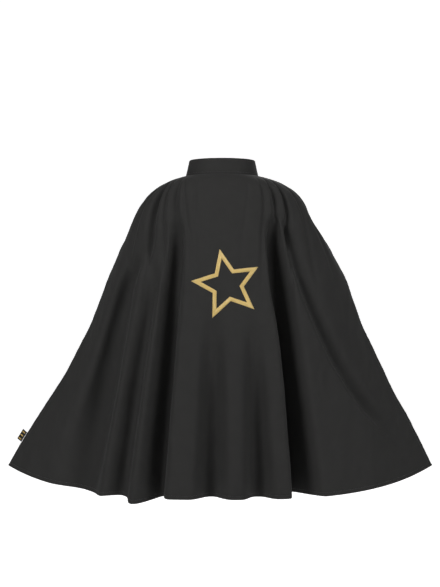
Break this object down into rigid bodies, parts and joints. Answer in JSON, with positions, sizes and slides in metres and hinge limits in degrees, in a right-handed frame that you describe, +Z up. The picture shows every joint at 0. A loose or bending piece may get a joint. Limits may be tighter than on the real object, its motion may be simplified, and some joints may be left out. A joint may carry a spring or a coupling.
{
  "type": "superhero cape",
  "caption": "Child's flared cape with a stand collar that closes in front, a stitched star outline on the back, a side label and a hanger loop.",
  "frame": {"origin": "centre of the neck opening, level with the neck seam", "axes": "+Z up, +Y the way the wearer faces, +X the wearer's right"},
  "size_m": [0.8071, 0.2758, 0.6243],
  "materials": {
    "cape_cloth": "soft charcoal twill with a faint sheen",
    "dark_thread": "matt sewing thread",
    "interlining": "stiff felted interlining",
    "woven_tape": "flat woven tape",
    "closure_tape": "hook-and-loop tape",
    "gold_thread": "glossy satin-stitched thread",
    "backing": "thin non-woven backing",
    "woven_label": "woven damask label",
    "care_label": "smooth white satin ribbon"
  },
  "bodies": {
    "back": {"shell_back": "cape_cloth", "hem_thread_back": "dark_thread", "collar_outer_back": "cape_cloth", "collar_interlining_back": "interlining", "collar_facing_back": "cape_cloth", "collar_thread": "dark_thread", "neck_tape": "woven_tape", "emblem_satin_stitch": "gold_thread", "emblem_backing": "backing"},
    "left_wing": {"shell_left_wing": "cape_cloth", "hem_thread_left": "dark_thread"},
    "right_wing": {"shell_right_wing": "cape_cloth", "hem_thread_right": "dark_thread"},
    "left_collar_end": {"collar_outer_left_end": "cape_cloth", "collar_interlining_left_end": "interlining", "collar_facing_left_end": "cape_cloth", "loop_tape": "closure_tape"},
    "right_collar_end": {"collar_outer_right_end": "cape_cloth", "collar_interlining_right_end": "interlining", "collar_facing_right_end": "cape_cloth", "hook_tape": "closure_tape"},
    "side_label": {"side_label": "woven_label"},
    "care_label": {"care_label": "care_label"},
    "hanger_loop": {"hanger_loop": "woven_tape"}
  },
  "joints": [
    {"name": "left_wing_swing", "type": "hinge", "parent": "back", "child": "left_wing", "pos_m": [-0.21118, -0.07712, -0.40091], "axis": [0.1746, 0.0952, 0.98], "range_deg": [-35, 45]},
    {"name": "right_wing_swing", "type": "hinge", "parent": "back", "child": "right_wing", "pos_m": [0.22678, -0.09657, -0.39964], "axis": [0.2049, -0.1591, -0.9658], "range_deg": [-35, 45]},
    {"name": "collar_over_end", "type": "hinge", "parent": "back", "child": "left_collar_end", "pos_m": [-0.04439, 0.04844, 0.015], "axis": [0.1452, -0.1584, 0.9766], "range_deg": [0, 110]},
    {"name": "collar_under_end", "type": "hinge", "parent": "back", "child": "right_collar_end", "pos_m": [0.04439, 0.04844, 0.015], "axis": [0.1452, 0.1584, -0.9766], "range_deg": [0, 22]},
    {"name": "side_label_flap", "type": "hinge", "parent": "left_wing", "child": "side_label", "pos_m": [-0.37614, 0.00221, -0.49475], "axis": [-0.5288, -0.0311, -0.8482], "range_deg": [-60, 30]},
    {"name": "care_label_flap", "type": "hinge", "parent": "back", "child": "care_label", "pos_m": [0, -0.06415, -0.003], "axis": [1, 0, 0], "range_deg": [-5, 100]},
    {"name": "hanger_loop_swing", "type": "hinge", "parent": "back", "child": "hanger_loop", "pos_m": [0, -0.06135, -0.003], "axis": [1, 0, 0], "range_deg": [0, 150]}
  ],
  "couplings": [
    {"joint": "collar_under_end", "follows": "collar_over_end", "ratio": 0.2}
  ]
}
